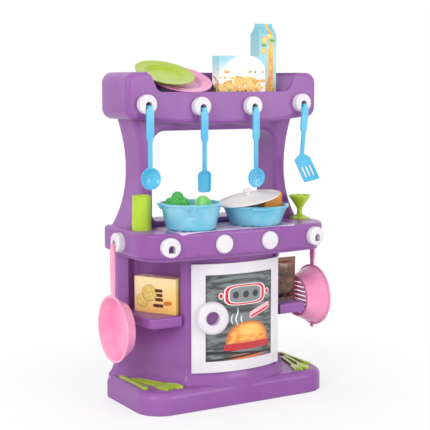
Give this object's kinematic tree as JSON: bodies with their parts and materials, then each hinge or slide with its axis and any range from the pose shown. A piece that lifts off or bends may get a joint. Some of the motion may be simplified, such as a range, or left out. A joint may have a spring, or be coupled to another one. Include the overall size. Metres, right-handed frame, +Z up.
{
  "type": "play kitchen",
  "caption": "Moulded toy kitchen: oven door, hob with pots, arch with hanging utensils, top trough with plates and packets",
  "frame": {"origin": "middle of the plinth's flat underside, on the floor", "axes": "+Z up, -Y the front with the oven door, +X to the viewer's right"},
  "size_m": [0.4704, 0.2446, 0.762],
  "materials": {
    "purple_body": "satin blow-moulded polyethylene",
    "white_trim": "satin moulded plastic",
    "lilac_grill": "satin moulded plastic",
    "blue_utensil": "glossy injection-moulded plastic",
    "blue_pot": "glossy injection-moulded plastic",
    "lime_plastic": "glossy injection-moulded plastic",
    "pink_pan": "glossy injection-moulded plastic",
    "pink_plate": "glossy injection-moulded plastic",
    "lid_plastic": "glossy off-white plastic",
    "green_food": "satin soft plastic",
    "crumb_food": "rough breadcrumb texture",
    "door_sheet": "printed sheet of a lit oven window",
    "cereal_card": "printed card",
    "juice_card": "printed card",
    "biscuit_card": "printed card",
    "chocolate_foil": "printed foil",
    "steel": "zinc-plated steel"
  },
  "bodies": {
    "stand": {"plinth": "purple_body", "cabinet": "purple_body", "left_side_shelf": "purple_body", "right_side_shelf": "purple_body", "worktop": "purple_body", "back_frame": "purple_body", "top_shelf": "purple_body", "hob_grid": "lilac_grill", "plinth_screws": "steel", "hinge_pins": "steel", "top_hook_1": "white_trim", "top_hook_2": "white_trim", "top_hook_3": "white_trim", "top_hook_4": "white_trim", "counter_hook_left": "white_trim", "counter_hook_right": "white_trim", "side_hook_left": "white_trim", "side_hook_right": "white_trim"},
    "door": {"oven_door": "white_trim", "door_picture": "door_sheet", "door_hole_cap": "purple_body", "door_ring_handle": "white_trim"},
    "left_knob": {"left_knob": "white_trim"},
    "right_knob": {"right_knob": "white_trim"},
    "ladle": {"ladle": "blue_utensil"},
    "serving_spoon": {"serving_spoon": "blue_utensil"},
    "skimmer": {"skimmer": "blue_utensil"},
    "turner": {"turner": "blue_utensil"},
    "frying_pan": {"frying_pan": "pink_pan"},
    "colander": {"colander": "pink_pan"},
    "pink_plate": {"pink_plate": "pink_plate"},
    "green_plate": {"green_plate": "lime_plastic"},
    "cereal_box": {"cereal_box": "cereal_card"},
    "juice_carton": {"juice_carton": "juice_card"},
    "saucepan": {"saucepan": "blue_pot"},
    "broccoli": {"broccoli": "green_food"},
    "lettuce": {"lettuce": "green_food"},
    "casserole": {"casserole": "blue_pot"},
    "fish_fillet": {"fish_fillet": "crumb_food"},
    "casserole_lid": {"casserole_lid": "lid_plastic"},
    "tumbler": {"tumbler": "lime_plastic"},
    "goblet": {"goblet": "lime_plastic"},
    "biscuit_box": {"biscuit_box": "biscuit_card"},
    "chocolate_packet": {"chocolate_packet": "chocolate_foil"},
    "left_knife": {"left_knife": "lime_plastic"},
    "left_fork": {"left_fork": "lime_plastic"},
    "left_spoon": {"left_spoon": "lime_plastic"},
    "right_knife": {"right_knife": "lime_plastic"},
    "right_fork": {"right_fork": "lime_plastic"},
    "right_spoon": {"right_spoon": "lime_plastic"}
  },
  "joints": [
    {"name": "door_hinge", "type": "hinge", "parent": "stand", "child": "door", "pos_m": [0.099, -0.06864, 0.178], "axis": [0, 0, 1], "range_deg": [0, 100]},
    {"name": "left_knob_turn", "type": "hinge", "parent": "stand", "child": "left_knob", "pos_m": [-0.0525, -0.11194, 0.3295], "axis": [0, -1, 0], "continuous": true},
    {"name": "right_knob_turn", "type": "hinge", "parent": "stand", "child": "right_knob", "pos_m": [0.0525, -0.11194, 0.3295], "axis": [0, -1, 0], "continuous": true},
    {"name": "ladle_swing", "type": "hinge", "parent": "stand", "child": "ladle", "pos_m": [-0.18, -0.0415, 0.5933], "axis": [-1, 0, 0], "range_deg": [0, 45]},
    {"name": "serving_spoon_swing", "type": "hinge", "parent": "stand", "child": "serving_spoon", "pos_m": [-0.06, -0.0415, 0.5883], "axis": [-1, 0, 0], "range_deg": [0, 45]},
    {"name": "skimmer_swing", "type": "hinge", "parent": "stand", "child": "skimmer", "pos_m": [0.06, -0.0415, 0.5883], "axis": [-1, 0, 0], "range_deg": [0, 45]},
    {"name": "turner_swing", "type": "hinge", "parent": "stand", "child": "turner", "pos_m": [0.18, -0.0415, 0.5933], "axis": [-1, 0, 0], "range_deg": [0, 45]},
    {"name": "frying_pan_swing", "type": "hinge", "parent": "stand", "child": "frying_pan", "pos_m": [-0.2255, 0.012, 0.3238], "axis": [0, 1, 0], "range_deg": [0, 40]},
    {"name": "colander_swing", "type": "hinge", "parent": "stand", "child": "colander", "pos_m": [0.2255, -0.006, 0.3238], "axis": [0, -1, 0], "range_deg": [0, 40]},
    {"name": "pink_plate_lift", "type": "slide", "parent": "stand", "child": "pink_plate", "axis": [0, 0, 1], "range_m": [0, 0.04]},
    {"name": "green_plate_lift", "type": "slide", "parent": "pink_plate", "child": "green_plate", "axis": [0, 0, 1], "range_m": [0, 0.04]},
    {"name": "cereal_box_lift", "type": "slide", "parent": "stand", "child": "cereal_box", "axis": [0, 0, 1], "range_m": [0, 0.06]},
    {"name": "juice_carton_lift", "type": "slide", "parent": "stand", "child": "juice_carton", "axis": [0, 0, 1], "range_m": [0, 0.06]},
    {"name": "saucepan_lift", "type": "slide", "parent": "stand", "child": "saucepan", "axis": [0, 0, 1], "range_m": [0, 0.018]},
    {"name": "broccoli_lift", "type": "slide", "parent": "saucepan", "child": "broccoli", "axis": [0, 0, 1], "range_m": [0, 0.02]},
    {"name": "lettuce_lift", "type": "slide", "parent": "saucepan", "child": "lettuce", "axis": [0, 0, 1], "range_m": [0, 0.018]},
    {"name": "casserole_lift", "type": "slide", "parent": "stand", "child": "casserole", "axis": [0, 0, 1], "range_m": [0, 0.005]},
    {"name": "fish_fillet_slide", "type": "slide", "parent": "casserole", "child": "fish_fillet", "axis": [0, -1, 0], "range_m": [0, 0.004]},
    {"name": "casserole_lid_slide", "type": "slide", "parent": "casserole", "child": "casserole_lid", "axis": [0, -1, 0], "range_m": [0, 0.04]},
    {"name": "tumbler_lift", "type": "slide", "parent": "stand", "child": "tumbler", "axis": [0, 0, 1], "range_m": [0, 0.05]},
    {"name": "goblet_lift", "type": "slide", "parent": "stand", "child": "goblet", "axis": [0, 0, 1], "range_m": [0, 0.05]},
    {"name": "biscuit_box_lift", "type": "slide", "parent": "stand", "child": "biscuit_box", "axis": [0, 0, 1], "range_m": [0, 0.03]},
    {"name": "chocolate_packet_lift", "type": "slide", "parent": "stand", "child": "chocolate_packet", "axis": [0, 0, 1], "range_m": [0, 0.018]},
    {"name": "left_knife_lift", "type": "slide", "parent": "stand", "child": "left_knife", "axis": [0, 0, 1], "range_m": [0, 0.05]},
    {"name": "left_fork_lift", "type": "slide", "parent": "stand", "child": "left_fork", "axis": [0, 0, 1], "range_m": [0, 0.05]},
    {"name": "left_spoon_lift", "type": "slide", "parent": "stand", "child": "left_spoon", "axis": [0, 0, 1], "range_m": [0, 0.05]},
    {"name": "right_knife_lift", "type": "slide", "parent": "stand", "child": "right_knife", "axis": [0, 0, 1], "range_m": [0, 0.05]},
    {"name": "right_fork_lift", "type": "slide", "parent": "stand", "child": "right_fork", "axis": [0, 0, 1], "range_m": [0, 0.05]},
    {"name": "right_spoon_lift", "type": "slide", "parent": "stand", "child": "right_spoon", "axis": [0, 0, 1], "range_m": [0, 0.05]}
  ]
}
